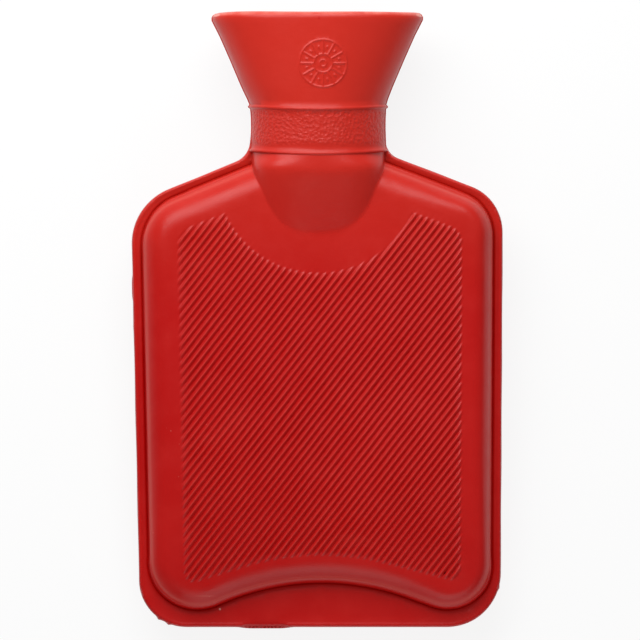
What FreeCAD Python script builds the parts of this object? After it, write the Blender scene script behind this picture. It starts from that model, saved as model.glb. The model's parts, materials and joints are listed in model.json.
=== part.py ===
import FreeCAD, Part
import math
import os

from FreeCAD import Placement, Rotation, Vector

# A small moulded rubber hot water bottle with a screw stopper.
# Sizes are in millimetres. The bottle is drawn in its mould's frame: X across, Y from the base edge
# to the mouth, Z out of the seam plane towards the ribbed front. It is then laid down on its back.

# Outline of the seam flange
LENGTH = 214.6
SHOULDER_WIDTH = 130.0
BASE_WIDTH = 126.4
SHOULDER_CORNER_HEIGHT = 147.8
SHOULDER_SLOPE_DEG = 22.6
FLANGE_WIDTH = 3.4
FLANGE_THICKNESS = 3.4
FLANGE_EDGE_ROUND = 1.2
FLANGE_BASE_CORNER_RADIUS = 17.5
FLANGE_SHOULDER_CORNER_RADIUS = 15.0
FLANGE_NECK_RADIUS = 10.0

# Raised water chamber
CHAMBER_HALF_DEPTH = 10.5
CHAMBER_EDGE_ROUND = 8.8
CHAMBER_HEEL_RADIUS = 13.0
CHAMBER_PEAK_RADIUS = 20.0
WAVE_HEIGHT = 16.1
WAVE_RADIUS = 92.0
WAVE_SLOPE_DEG = 20.0
WALL = 2.2

# Neck, with the band between its two beads
NECK_HALF_WIDTH = 23.3
NECK_HALF_DEPTH = 17.5
NECK_FOOT = 159.2
NECK_TOP = 184.8
BEAD_HEIGHTS = (166.6, 181.7)
BEAD_WIDTH = 1.8
BEAD_RISE = 0.8
BEAD_ROUND = 0.6

# Throat, a half cone that runs from the neck down to the chamber's faces
THROAT_SLOPE_DEG = 20.0
THROAT_CREST_RADIUS = 3.0

# Funnel
RIM_HALF_WIDTH = 36.7
RIM_HALF_DEPTH = 19.0
FUNNEL_WALL = 3.0
LIP_FULLNESS = 0.94
PARTING_LINE_RISE = 0.4
PARTING_LINE_THICKNESS = 1.2

# Grip ribs on the front
RIB_PITCH = 2.04
RIB_ANGLE_DEG = 52.2
RIB_CREST_WIDTH = 0.5
RIB_RISE = 0.75
RIB_ROOT = 0.2
RIB_SEAT = 0.8
RIB_FIELD_MARGIN = 2.6
RIB_FIELD_ARC_RADIUS = 35.0

# Threaded metal insert, moulded into the neck
INSERT_LENGTH = 22.4
SEAT_HEIGHT = 184.0
INSERT_RADIUS = 13.6
INSERT_GROOVE_DEPTH = 0.7
INSERT_GROOVE_WIDTH = 2.2
INSERT_GROOVE_COUNT = 3
INSERT_LEAD_IN = 0.8
THROAT_BORE_RADIUS = 11.6

# Thread
THREAD_PITCH = 4.0
THREAD_DEPTH = 1.15
THREAD_RADIAL_CLEARANCE = 0.3
THREAD_CREST_WIDTH = 0.9
THREAD_ROOT_WIDTH = 1.9
THREAD_ROOT_SINK = 0.4
STOPPER_CORE_RADIUS = 9.7
STOPPER_THREAD_START = 1.4
STOPPER_THREAD_TURNS = 2.3
STOPPER_TURNS_TO_FREE = 2.5
INSERT_THREAD_START = 1.6

# Stopper and washer
WASHER_RADIUS = 13.3
WASHER_THICKNESS = 3.0
SEAT_GAP = 0.1
WASHER_GAP = 0.1
WASHER_BORE_CLEARANCE = 0.3
UNDERCUT_RADIUS = 9.5
SHANK_LENGTH = 14.2
SHANK_WALL = 2.0
SHANK_CHAMFER = 0.8
HEAD_RADIUS = 13.8
HEAD_THICKNESS = 3.4
HEAD_EDGE_CHAMFER = 0.8
TAB_WIDTH = 25.0
TAB_HEIGHT = 17.0
TAB_THICKNESS = 6.0
TAB_WAIST_WIDTH = 18.0
TAB_CORNER_RADIUS = 5.0
TAB_EDGE_CHAMFER = 0.8
TAB_RECESS_DEPTH = 1.6
TAB_RECESS_MARGIN = 3.4
TAB_RECESS_CORNER_RADIUS = 2.0
TAB_SINK = 0.6

# Worked out from the sizes above
SIDE_LEAN = (SHOULDER_WIDTH - BASE_WIDTH) / 2 / SHOULDER_CORNER_HEIGHT
SHOULDER_SLOPE = math.tan(math.radians(SHOULDER_SLOPE_DEG))
WAVE_SLOPE = math.tan(math.radians(WAVE_SLOPE_DEG))
FUNNEL_LEAN = math.atan((RIM_HALF_WIDTH - NECK_HALF_WIDTH) / (LENGTH - NECK_TOP))
LIP_ROUND = LIP_FULLNESS * FUNNEL_WALL * math.cos(FUNNEL_LEAN) / 2
THROAT_SLOPE = math.tan(math.radians(THROAT_SLOPE_DEG))
INSERT_FOOT = SEAT_HEIGHT - INSERT_LENGTH
NEAR = 1e-6
MIDDLE = Vector(0, 0, 0)
UP = Vector(0, 0, 1)
AXIS = Vector(0, 1, 0)


def offset_corner(before, corner, after, inset):
    """The corner of two outline sides once both have moved inwards, to the left of the way round."""
    into = (corner - before).normalize()
    out = (after - corner).normalize()
    left_in = Vector(-into.y, into.x, 0)
    left_out = Vector(-out.y, out.x, 0)
    share = 1 + left_in.dot(left_out)
    return corner + (left_in + left_out) * (inset / share)


def corner_arc(before, corner, after, radius):
    """The start, middle and end of the arc that rounds a corner. A radius of 0 keeps the corner sharp."""
    back = (before - corner).normalize()
    ahead = (after - corner).normalize()
    half_angle = back.getAngle(ahead) / 2
    reach = radius / math.tan(half_angle)
    bisector = (back + ahead).normalize()
    centre = corner + bisector * (radius / math.sin(half_angle))
    return corner + back * reach, centre - bisector * radius, corner + ahead * reach


def rounded_outline(corners, inset=0.0):
    """A closed outline of straight sides and tangent arcs. corners are (x, y, radius), counterclockwise."""
    count = len(corners)
    sharp = [Vector(x, y, 0) for x, y, _ in corners]
    moved = [offset_corner(sharp[i - 1], sharp[i], sharp[(i + 1) % count], inset) for i in range(count)]
    arcs = []
    for i, (_, _, radius) in enumerate(corners):
        before = moved[i - 1]
        after = moved[(i + 1) % count]
        bulges = (moved[i] - before).cross(after - moved[i]).z > 0
        grown = radius - inset if bulges else radius + inset
        arcs.append(corner_arc(before, moved[i], after, grown if radius else 0.0))
    edges = []
    for i, (start, middle, end) in enumerate(arcs):
        if start.distanceToPoint(end) > NEAR:
            edges.append(Part.Arc(start, middle, end).toShape())
        next_start = arcs[(i + 1) % count][0]
        if end.distanceToPoint(next_start) > NEAR:
            edges.append(Part.LineSegment(end, next_start).toShape())
    return Part.Wire(edges)


def mirrored_corners(right_half):
    """A symmetrical outline from its corners right of the middle, counterclockwise from the base."""
    left_half = [(-x, y, radius) for x, y, radius in reversed(right_half) if x != 0]
    return right_half + left_half


def slab(outline, low, high):
    """A plate of one outline between two heights over the seam plane."""
    plate = Part.Face(outline).extrude(UP * (high - low))
    plate.translate(UP * low)
    return plate


def flange_corners():
    base_half = BASE_WIDTH / 2
    shoulder_half = SHOULDER_WIDTH / 2
    inside_neck = NECK_HALF_WIDTH - PARTING_LINE_RISE
    neck_corner_height = SHOULDER_CORNER_HEIGHT + (shoulder_half - inside_neck) * SHOULDER_SLOPE
    return mirrored_corners([
        (base_half, 0.0, FLANGE_BASE_CORNER_RADIUS),
        (shoulder_half, SHOULDER_CORNER_HEIGHT, FLANGE_SHOULDER_CORNER_RADIUS),
        (inside_neck, neck_corner_height, FLANGE_NECK_RADIUS),
        (inside_neck, BEAD_HEIGHTS[1], FLANGE_WIDTH),
    ])


def chamber_corners():
    """Corners of the raised chamber: the flange runs round it, and its base is a shallow wave."""
    shoulder_half = SHOULDER_WIDTH / 2
    side_at_base = BASE_WIDTH / 2 - FLANGE_WIDTH
    slope_angle = math.radians(WAVE_SLOPE_DEG)
    wave_apex = WAVE_HEIGHT + WAVE_RADIUS * (1 / math.cos(slope_angle) - 1)
    heel_height = (wave_apex - side_at_base * WAVE_SLOPE) / (1 + SIDE_LEAN * WAVE_SLOPE)
    heel_x = side_at_base + SIDE_LEAN * heel_height
    shoulder_drop = FLANGE_WIDTH / math.cos(math.radians(SHOULDER_SLOPE_DEG))
    peak_height = SHOULDER_CORNER_HEIGHT + shoulder_half * SHOULDER_SLOPE - shoulder_drop
    shoulder_x = shoulder_half - FLANGE_WIDTH
    shoulder_height = peak_height - shoulder_x * SHOULDER_SLOPE
    shoulder_radius = FLANGE_SHOULDER_CORNER_RADIUS - FLANGE_WIDTH
    corners = mirrored_corners([
        (heel_x, heel_height, CHAMBER_HEEL_RADIUS),
        (shoulder_x, shoulder_height, shoulder_radius),
        (0.0, peak_height, CHAMBER_PEAK_RADIUS),
    ])
    return corners + [(0.0, wave_apex, WAVE_RADIUS)]


def make_pillow(inset):
    """The chamber's form: a plate with well rounded edges, or the same shape inset on every side."""
    half_depth = CHAMBER_HALF_DEPTH - inset
    plate = slab(rounded_outline(chamber_corners(), inset), -half_depth, half_depth)
    edges = [e for e in plate.Edges if abs(abs(e.CenterOfMass.z) - half_depth) < NEAR]
    return plate.makeFillet(CHAMBER_EDGE_ROUND - inset, edges)


def make_throat(inset):
    """The neck's oval carried on down, its crest falling away from the neck's foot as a cone does."""
    half_depth = NECK_HALF_DEPTH - inset
    cone_height = NECK_HALF_DEPTH - inset / math.cos(math.radians(THROAT_SLOPE_DEG))
    cone_radius = THROAT_CREST_RADIUS + cone_height / THROAT_SLOPE
    oval = make_oval(NECK_HALF_WIDTH - inset, half_depth, NECK_FOOT - cone_radius, NECK_FOOT)
    front = Part.makeCone(cone_radius, THROAT_CREST_RADIUS, cone_height, AXIS * NECK_FOOT)
    return oval.common(front.fuse(front.mirror(MIDDLE, UP)))


def ellipse_wire(half_width, half_depth, height):
    """An ellipse round the neck's axis, wider than it is deep."""
    centre = AXIS * height
    return Part.Wire(Part.Ellipse(
        centre + Vector(half_width, 0, 0), centre + Vector(0, 0, half_depth), centre).toShape())


def make_oval(half_width, half_depth, low, high):
    plate = Part.Face(ellipse_wire(half_width, half_depth, low)).extrude(AXIS * (high - low))
    return plate if plate.Volume > 0 else plate.reversed()


def make_bead(height):
    """A rounded ring round the neck."""
    low = height - BEAD_WIDTH / 2
    ring = make_oval(NECK_HALF_WIDTH + BEAD_RISE, NECK_HALF_DEPTH + BEAD_RISE, low, low + BEAD_WIDTH)
    rims = [e for e in ring.Edges if isinstance(e.Curve, Part.Ellipse)]
    return ring.makeFillet(BEAD_ROUND, rims)


def make_funnel_outside():
    bottom = ellipse_wire(NECK_HALF_WIDTH, NECK_HALF_DEPTH, NECK_TOP)
    top = ellipse_wire(RIM_HALF_WIDTH, RIM_HALF_DEPTH, LENGTH)
    return Part.makeLoft([bottom, top], True, True)


def make_funnel_inside():
    """The funnel's hollow, down to the face that the washer seats on."""
    seat_half_width = NECK_HALF_WIDTH - FUNNEL_WALL
    seat_half_depth = NECK_HALF_DEPTH - FUNNEL_WALL
    bottom = ellipse_wire(seat_half_width, seat_half_depth, SEAT_HEIGHT)
    top = ellipse_wire(RIM_HALF_WIDTH - FUNNEL_WALL, RIM_HALF_DEPTH - FUNNEL_WALL, LENGTH)
    return Part.makeLoft([bottom, top], True, True)


def make_parting_line():
    """The thin line that the mould's halves leave along both sides of the neck and the funnel."""
    neck = NECK_HALF_WIDTH + PARTING_LINE_RISE
    rim = RIM_HALF_WIDTH + PARTING_LINE_RISE
    rim_height = LENGTH - 2 * LIP_ROUND
    outline = Part.makePolygon([
        Vector(-neck, NECK_FOOT, 0),
        Vector(neck, NECK_FOOT, 0),
        Vector(neck, NECK_TOP, 0),
        Vector(rim, rim_height, 0),
        Vector(-rim, rim_height, 0),
        Vector(-neck, NECK_TOP, 0),
        Vector(-neck, NECK_FOOT, 0),
    ])
    return slab(outline, -PARTING_LINE_THICKNESS / 2, PARTING_LINE_THICKNESS / 2)


def make_flange():
    """The flat seam round the chamber, with rounded edges."""
    half = FLANGE_THICKNESS / 2
    plate = slab(rounded_outline(flange_corners()), -half, half)
    edges = [e for e in plate.Edges if abs(abs(e.CenterOfMass.z) - half) < NEAR]
    return plate.makeFillet(FLANGE_EDGE_ROUND, edges)


def make_ribs():
    """The field of slanted grip ribs. It ends short of the chamber's rounded edge and of the throat."""
    face = CHAMBER_HALF_DEPTH
    count = int((LENGTH + SHOULDER_WIDTH) / 2 / RIB_PITCH)
    half_span = count * RIB_PITCH
    floor = face - RIB_SEAT
    points = [Vector(-half_span, 0, floor)]
    for i in range(-count, count):
        middle = (i + 0.5) * RIB_PITCH
        points.append(Vector(middle - RIB_PITCH / 2, 0, face - RIB_ROOT))
        points.append(Vector(middle - RIB_CREST_WIDTH / 2, 0, face + RIB_RISE))
        points.append(Vector(middle + RIB_CREST_WIDTH / 2, 0, face + RIB_RISE))
    points.append(Vector(half_span, 0, face - RIB_ROOT))
    points.append(Vector(half_span, 0, floor))
    points.append(points[0])
    comb = Part.Face(Part.makePolygon(points)).extrude(AXIS * 2 * LENGTH)
    comb.translate(AXIS * -LENGTH)
    comb.rotate(MIDDLE, UP, RIB_ANGLE_DEG - 90)
    comb.translate(AXIS * LENGTH / 2)
    inset = CHAMBER_EDGE_ROUND + RIB_FIELD_MARGIN
    field = slab(rounded_outline(chamber_corners(), inset), floor, face + RIB_RISE)
    arc = Part.makeCylinder(RIB_FIELD_ARC_RADIUS, 2 * face, AXIS * NECK_FOOT)
    return comb.common(field.cut(arc))


def make_ring_groove(radius, depth, width, height):
    """A ring to cut from the outside of a turned piece."""
    outer = Part.makeCylinder(radius + depth, width, AXIS * height, AXIS)
    inner = Part.makeCylinder(radius - depth, width, AXIS * height, AXIS)
    return outer.cut(inner)


def make_insert_form():
    """The insert's outside with its retaining grooves, and no bore."""
    form = Part.makeCylinder(INSERT_RADIUS, INSERT_LENGTH, AXIS * INSERT_FOOT, AXIS)
    land = (INSERT_LENGTH - INSERT_GROOVE_COUNT * INSERT_GROOVE_WIDTH) / (INSERT_GROOVE_COUNT + 1)
    for i in range(INSERT_GROOVE_COUNT):
        height = INSERT_FOOT + land + i * (land + INSERT_GROOVE_WIDTH)
        form = form.cut(make_ring_groove(INSERT_RADIUS, INSERT_GROOVE_DEPTH, INSERT_GROOVE_WIDTH, height))
    return form


def make_thread_ridge(root_radius, crest_radius, start, turns, phase_deg):
    """A helical ridge round the neck's axis, from root to crest, with its root sunk in its carrier."""
    sink = THREAD_ROOT_SINK if root_radius < crest_radius else -THREAD_ROOT_SINK
    flank = (THREAD_ROOT_WIDTH - THREAD_CREST_WIDTH) / 2 / THREAD_DEPTH
    sunk_half = THREAD_ROOT_WIDTH / 2 + THREAD_ROOT_SINK * flank
    crest_half = THREAD_CREST_WIDTH / 2
    sunk_radius = root_radius - sink
    profile = Part.makePolygon([
        Vector(sunk_radius, 0, -sunk_half),
        Vector(crest_radius, 0, -crest_half),
        Vector(crest_radius, 0, crest_half),
        Vector(sunk_radius, 0, sunk_half),
        Vector(sunk_radius, 0, -sunk_half),
    ])
    helix = Part.makeHelix(THREAD_PITCH, turns * THREAD_PITCH, root_radius)
    ridge = helix.makePipeShell([profile], True, True)
    ridge.rotate(MIDDLE, UP, phase_deg)
    ridge.rotate(MIDDLE, Vector(1, 0, 0), -90)
    ridge.translate(AXIS * start)
    return ridge if ridge.Volume > 0 else ridge.reversed()


def insert_bore_radius():
    return STOPPER_CORE_RADIUS + THREAD_DEPTH + THREAD_RADIAL_CLEARANCE


def insert_thread_foot():
    return INSERT_FOOT + INSERT_THREAD_START


def stopper_thread_foot():
    return SEAT_HEIGHT - SHANK_LENGTH + STOPPER_THREAD_START


def make_neck_insert():
    """The metal insert: grooves outside hold it in the rubber, and a coarse thread inside takes the stopper."""
    bore_radius = insert_bore_radius()
    bore = Part.makeCylinder(bore_radius, INSERT_LENGTH, AXIS * INSERT_FOOT, AXIS)
    lead_in = Part.makeCone(
        bore_radius, bore_radius + INSERT_LEAD_IN, INSERT_LEAD_IN, AXIS * (SEAT_HEIGHT - INSERT_LEAD_IN), AXIS)
    foot = insert_thread_foot()
    turns = (stopper_thread_foot() - foot) / THREAD_PITCH + STOPPER_TURNS_TO_FREE
    ridge = make_thread_ridge(bore_radius, bore_radius - THREAD_DEPTH, foot, turns, 0.0)
    return make_insert_form().cut(bore).cut(lead_in).fuse(ridge)


def make_bottle_body():
    """The rubber bottle: one hollow moulding of chamber, throat, neck, funnel and seam flange."""
    neck = make_oval(NECK_HALF_WIDTH, NECK_HALF_DEPTH, NECK_FOOT, NECK_TOP)
    beads = [make_bead(height) for height in BEAD_HEIGHTS]
    outside = make_pillow(0.0).fuse([make_flange(), make_throat(0.0), neck, make_parting_line()] + beads)
    outside = outside.fuse(make_funnel_outside())
    hollow = make_pillow(WALL).fuse(make_throat(WALL))
    passage_foot = NECK_FOOT - WALL
    passage = Part.makeCylinder(THROAT_BORE_RADIUS, SEAT_HEIGHT - passage_foot, AXIS * passage_foot, AXIS)
    body = outside.cut([hollow, passage, make_insert_form(), make_funnel_inside()])
    lip = [e for e in body.Edges if e.BoundBox.YMin > LENGTH - LIP_ROUND]
    body = body.makeFillet(LIP_ROUND, lip)
    return body.fuse(make_ribs())


def washer_foot():
    return SEAT_HEIGHT + SEAT_GAP


def head_foot():
    return washer_foot() + WASHER_THICKNESS + WASHER_GAP


def make_sealing_washer():
    """The flat rubber ring under the stopper's head."""
    foot = AXIS * washer_foot()
    ring = Part.makeCylinder(WASHER_RADIUS, WASHER_THICKNESS, foot, AXIS)
    bore = Part.makeCylinder(UNDERCUT_RADIUS + WASHER_BORE_CLEARANCE, WASHER_THICKNESS, foot, AXIS)
    return ring.cut(bore)


def make_grip_tab():
    """The flat tab that fingers turn. It widens upwards and has a shallow recess in each face."""
    foot = head_foot() + HEAD_THICKNESS
    top = foot + TAB_HEIGHT
    half = TAB_THICKNESS / 2
    outline = rounded_outline(mirrored_corners([
        (TAB_WAIST_WIDTH / 2, foot - TAB_SINK, 0.0),
        (TAB_WIDTH / 2, top, TAB_CORNER_RADIUS),
    ]))
    tab = slab(outline, -half, half)
    edges = [e for e in tab.Edges if abs(abs(e.CenterOfMass.z) - half) < NEAR]
    tab = tab.makeChamfer(TAB_EDGE_CHAMFER, edges)
    recess_half = TAB_WAIST_WIDTH / 2 - TAB_RECESS_MARGIN
    recess = rounded_outline(mirrored_corners([
        (recess_half, foot + TAB_RECESS_MARGIN, TAB_RECESS_CORNER_RADIUS),
        (recess_half, top - TAB_RECESS_MARGIN, TAB_RECESS_CORNER_RADIUS),
    ]))
    front = slab(recess, half - TAB_RECESS_DEPTH, half)
    back = slab(recess, -half, TAB_RECESS_DEPTH - half)
    return tab.cut([front, back])


def make_stopper():
    """The moulded stopper: a hollow threaded shank, a round head and a grip tab."""
    shank_foot = SEAT_HEIGHT - SHANK_LENGTH
    undercut_foot = washer_foot() - WASHER_GAP
    shank = Part.makeCylinder(STOPPER_CORE_RADIUS, undercut_foot - shank_foot, AXIS * shank_foot, AXIS)
    rims = [e for e in shank.Edges if abs(e.CenterOfMass.y - shank_foot) < NEAR]
    shank = shank.makeChamfer(SHANK_CHAMFER, rims)
    foot = stopper_thread_foot()
    half_pitch_on = (foot - insert_thread_foot()) / THREAD_PITCH - 0.5
    crest_radius = STOPPER_CORE_RADIUS + THREAD_DEPTH
    ridge = make_thread_ridge(
        STOPPER_CORE_RADIUS, crest_radius, foot, STOPPER_THREAD_TURNS, 360 * half_pitch_on)
    undercut = Part.makeCylinder(UNDERCUT_RADIUS, head_foot() - undercut_foot, AXIS * undercut_foot, AXIS)
    head = Part.makeCylinder(HEAD_RADIUS, HEAD_THICKNESS, AXIS * head_foot(), AXIS)
    head = head.makeChamfer(HEAD_EDGE_CHAMFER, [e for e in head.Edges if isinstance(e.Curve, Part.Circle)])
    hollow = Part.makeCylinder(STOPPER_CORE_RADIUS - SHANK_WALL, SHANK_LENGTH, AXIS * shank_foot, AXIS)
    return shank.fuse([undercut, head, make_grip_tab(), ridge]).cut(hollow)


def rest_placement():
    """Lays the bottle on its back, where it rests on the heel of its chamber and on the funnel's rim."""
    heel_height = WAVE_HEIGHT + CHAMBER_EDGE_ROUND
    rim_height = LENGTH - LIP_ROUND
    tilt = math.degrees(math.atan((RIM_HALF_DEPTH - CHAMBER_HALF_DEPTH) / (rim_height - heel_height)))
    return Placement(Vector(0, 0, 0), Rotation(Vector(1, 0, 0), tilt))


def main():
    pieces = {
        "bottle_body": make_bottle_body(),
        "neck_insert": make_neck_insert(),
        "sealing_washer": make_sealing_washer(),
        "stopper": make_stopper(),
    }
    rest = rest_placement()
    for shape in pieces.values():
        shape.Placement = rest.multiply(shape.Placement)
    box = pieces["bottle_body"].optimalBoundingBox(False, False)
    to_origin = Vector(0, -(box.YMin + box.YMax) / 2, -box.ZMin)
    os.makedirs("parts", exist_ok=True)
    for name, shape in pieces.items():
        shape.translate(to_origin)
        solid = shape.Solids[0] if len(shape.Solids) == 1 else shape
        print(name, "solids", len(shape.Solids), "valid", shape.isValid(), "volume", round(shape.Volume, 1))
        solid.exportStep(f"parts/{name}.step")


main()
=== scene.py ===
import json
import math

import bmesh
import bpy
import numpy as np
from mathutils import Matrix, Vector
from mathutils.geometry import delaunay_2d_cdt


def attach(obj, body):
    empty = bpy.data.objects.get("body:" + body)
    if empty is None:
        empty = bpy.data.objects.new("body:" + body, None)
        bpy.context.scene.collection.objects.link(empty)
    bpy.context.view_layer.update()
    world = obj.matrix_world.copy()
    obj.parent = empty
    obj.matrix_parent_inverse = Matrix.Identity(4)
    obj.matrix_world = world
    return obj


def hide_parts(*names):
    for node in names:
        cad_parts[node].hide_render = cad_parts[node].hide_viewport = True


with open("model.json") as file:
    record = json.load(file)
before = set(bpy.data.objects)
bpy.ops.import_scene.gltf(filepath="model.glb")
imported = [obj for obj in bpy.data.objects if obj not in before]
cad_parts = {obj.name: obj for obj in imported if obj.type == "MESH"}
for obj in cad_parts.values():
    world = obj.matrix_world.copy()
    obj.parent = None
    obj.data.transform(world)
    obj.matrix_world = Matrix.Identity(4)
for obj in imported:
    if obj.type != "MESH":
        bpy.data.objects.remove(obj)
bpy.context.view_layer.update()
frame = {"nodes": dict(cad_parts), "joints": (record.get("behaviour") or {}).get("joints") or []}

# A flat red rubber hot water bottle, seen from above on a white table.
# Sizes are in millimetres in the mould's frame: X across, Y from the base edge to the mouth, Z out of
# the seam plane. place() turns them into metres in the row frame.
MM = 0.001

# Outline of the seam flange: (x, y, corner radius), counterclockwise from the base's left corner
FLANGE_OUTLINE = [
    (-61.6, 0.55, 16.5),
    (63.9, 0.55, 18.8),
    (64.75, 149.8, 17.0),
    (24.7, 165.2, 6.5),
    (22.6, 176.0, 0.0),
    (-22.6, 176.0, 0.0),
    (-23.9, 164.4, 8.0),
    (-64.8, 147.7, 20.5),
]
FLANGE_HALF_THICKNESS = 1.7
FLANGE_RINGS = (0.0, 0.06, 0.18, 0.36, 0.58, 0.8, 1.1, 1.45, 1.85)

# Rounded bead along the flange's edge: how far in its crest lies, the power of its curve, and how
# much lower the flange is behind it
BEAD_CREST = 0.8
BEAD_POWER = 2.2
BEAD_FALL = 0.35
BEAD_FALL_WIDTH = 0.8

# Groove round the chamber's foot. It fades out over this distance from the flange's edge
GROOVE_DEPTH = 0.6
GROOVE_WIDTH = 0.45
GROOVE_FADE = 1.2

# Line of the chamber's edge, at the top of the steep wall that rises out of the flange
WALL_OUTLINE = [
    (-57.1, -0.6, 16.0),
    (-2.7, 24.9, 88.9),
    (59.75, 2.3, 14.5),
    (60.6, 146.6, 14.0),
    (0.7, 169.6, 20.0),
    (-60.35, 144.6, 16.5),
]
CHAMBER_HEIGHT = 10.4
FACE_FROM = 11.0
WALL_THICKNESS = 2.2

# The wall's width seen from the front, the width that its lean adds, and where along Y it leans
WALL_WIDTH = 0.9
WALL_LEAN = 0.7
BASE_LEAN = (14.0, 28.0)
SHOULDER_LEAN = (140.0, 156.0)
WALL_HEIGHT = 5.0
BASE_WALL_SHARE = 0.9
EDGE_WIDTH = 0.55
EDGE_POWER = 2.6

# The chamber gets lower towards the base
TAPER_FROM = 70.0
TAPER_LENGTH = 55.0
TAPER = 2.4

# Roll-over from the wall's edge to the flat face: its widths at some heights Y, the share of them
# that it has on the right, and where the change from left to right lies along X
ROLL_WIDTHS = ((0.0, 30.0, 60.0, 140.0, 215.0), (6.0, 6.5, 9.0, 9.0, 8.5))
RIGHT_ROLL_SHARE = 0.6
RIGHT_ROLL_FROM = (25.0, 58.0)
ROLL_POWER = 2.2
ROLL_RINGS = (
    -2.3, -2.0, -1.75, -1.5, -1.25, -1.05, -0.85, -0.65, -0.4, -0.15, 0.1, 0.35, 0.6,
    1.1, 1.9, 3.0, 4.4, 6.2, 8.4, 11.0)
SWAY_FROM = (2.0, 14.0)

# Painted highlight: a paler line along the wall's edge, where it starts, is full, fades and ends,
# measured inwards, the heights that it keeps to, and the Y where it stops under the neck
EDGE_HIGHLIGHT_SPAN = (-0.5, 0.0, 0.5, 1.3)
EDGE_HIGHLIGHT_HEIGHTS = (2.7, 8.0)
EDGE_HIGHLIGHT_TOP = 169.2

# Throat: the neck's oval grows fuller below the lower bead, and past a soft crease it slopes down
# into the chamber's face like a tongue
THROAT_HALF_WIDTH = 23.2
THROAT_HALF_DEPTH = 17.65
THROAT_SHIFT = 0.5
THROAT_FULLNESS = 0.8
THROAT_FULL_BETWEEN = (160.0, 165.6)
CREASE_HEIGHT = 159.2
CREASE_ROUND = 0.7
TONGUE_SLOPE = 0.335
BROW_SLOPE = 0.03
THROAT_REACH = 26.0
THROAT_FILLET = 0.2
THROAT_INSIDE_NECK = (169.0, 173.0)
THROAT_TOP = 175.5
THROAT_STEP = 0.8
THROAT_END_ANGLE = 0.02
THROAT_MARGIN = 0.2
THROAT_CLEAR = 0.25

# Field of slanted ribs
RIB_FIELD_OUTLINE = [
    (-46.9, 14.6, 4.0),
    (-1.0, 28.6, 90.0),
    (50.7, 15.6, 4.0),
    (51.0, 138.9, 6.0),
    (0.5, 157.6, 10.0),
    (-49.0, 138.4, 6.0),
]
RIB_ARC_RADIUS = 34.9
RIB_PITCH = 2.028
RIB_ANGLE_DEG = 52.3
RIB_PHASE = 0.62
RIB_HEIGHT = 0.8
RIB_ROOT = 0.2
RIB_FADE = 2.0
# A rib's section: (share of the pitch, share of the height)
RIB_SECTION = (
    (0.0, 0.0), (0.16, 0.15), (0.3, 0.54), (0.41, 0.91),
    (0.5, 1.0), (0.59, 0.91), (0.7, 0.54), (0.84, 0.15))
# Where a rib's line has points: distances from its ends, and the step between them elsewhere
RIB_ENDS = (0.05, 0.4, 0.8, 1.2, 1.7, 2.3)
RIB_STEP = 3.4
SHORT_RIB = 2.5 * RIB_ENDS[-1]
SHORT_RIB_STEP = 0.5
SHORTEST_RIB = 0.6
RIB_CLEAR = 0.02

# Loose grid over the plain faces, and how far it keeps from what has points of its own
FILL_STEP = 2.8
FILL_HALF_WIDTH = 66.0
FILL_TOP = 170.0
CLEAR_OF_ROLL = 0.8
CLEAR_OF_FLANGE = 0.6
CLEAR_OF_RIBS = 0.5
CLEAR_OF_THROAT = 0.5
# Share of its inset, and distance, that a ring's points keep from the border
RING_SHARE = 0.9
RING_CLEAR = 0.2

# Neck and funnel, up the outside and down the inside: (y, half width, half depth, how far the
# ring's middle lies below its sides)
NECK_SECTIONS = [
    (165.9, 23.35, 17.2, 1.5),
    (166.05, 23.7, 17.55, 1.5),
    (166.35, 24.1, 17.85, 1.5),
    (166.75, 24.15, 17.9, 1.5),
    (167.1, 23.85, 17.7, 1.5),
    (167.35, 23.5, 17.5, 1.5),
    (168.6, 23.3, 17.4, 1.5),
    (171.0, 23.2, 17.4, 1.45),
    (174.5, 23.1, 17.35, 1.3),
    (178.0, 23.15, 17.4, 1.2),
    (181.0, 23.35, 17.5, 1.1),
    (181.2, 23.6, 17.75, 1.1),
    (181.5, 24.0, 18.05, 1.1),
    (181.9, 24.05, 18.1, 1.1),
    (182.25, 23.75, 17.85, 1.1),
    (182.5, 23.55, 17.65, 1.1),
    (184.4, 24.2, 17.75, 1.0),
    (189.7, 26.5, 18.0, 0.8),
    (198.1, 30.1, 18.4, 0.4),
    (206.4, 33.8, 18.7, 0.15),
    (210.2, 35.75, 18.85, 0.0),
    (211.9, 36.6, 18.9, 0.0),
    (212.9, 36.6, 18.9, 0.0),
    (213.8, 36.1, 18.4, 0.0),
    (214.35, 35.2, 17.5, 0.0),
    (214.35, 34.2, 16.5, 0.0),
    (213.8, 33.5, 15.8, 0.0),
    (212.6, 33.2, 15.5, 0.0),
    (206.0, 30.4, 15.4, 0.0),
    (195.0, 25.3, 14.9, 0.0),
    (184.6, 20.6, 14.5, 0.0),
    (184.0, 20.2, 14.3, 0.0),
]
SECTION_POINTS = 240
SECTION_STEP = 1.6
NECK_SHIFT = 0.45
NECK_SHIFT_FADE = (178.0, 190.0)
FUNNEL_SWAY_FROM = (184.0, 214.0)
LIP_WAVE = 0.7

# Parting line on the sides of the neck and the funnel
PARTING_FROM = 167.0
PARTING_HALF = 0.45
PARTING_RISE = 0.35
PARTING_CREST_SHARE = 0.7
PARTING_CLEAR_SHARE = 1.4

# Way for the water, from the chamber through the insert's bore to the stopper's seat
BORE_RADIUS = 13.65
BORE_CLEARANCE = 0.1
BORE_FOOT = 150.0
BORE_TOP = 190.0
BORE_POINTS = 96
THROAT_BORE_RADIUS = 11.6
INSERT_FOOT = 161.6
SEAT_HEIGHT = 184.0
HOLLOW_INSETS = (WALL_THICKNESS, 2.5, 3.4, 5.0, 7.5, FACE_FROM)
HOLLOW_STEP = 4.0

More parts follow.
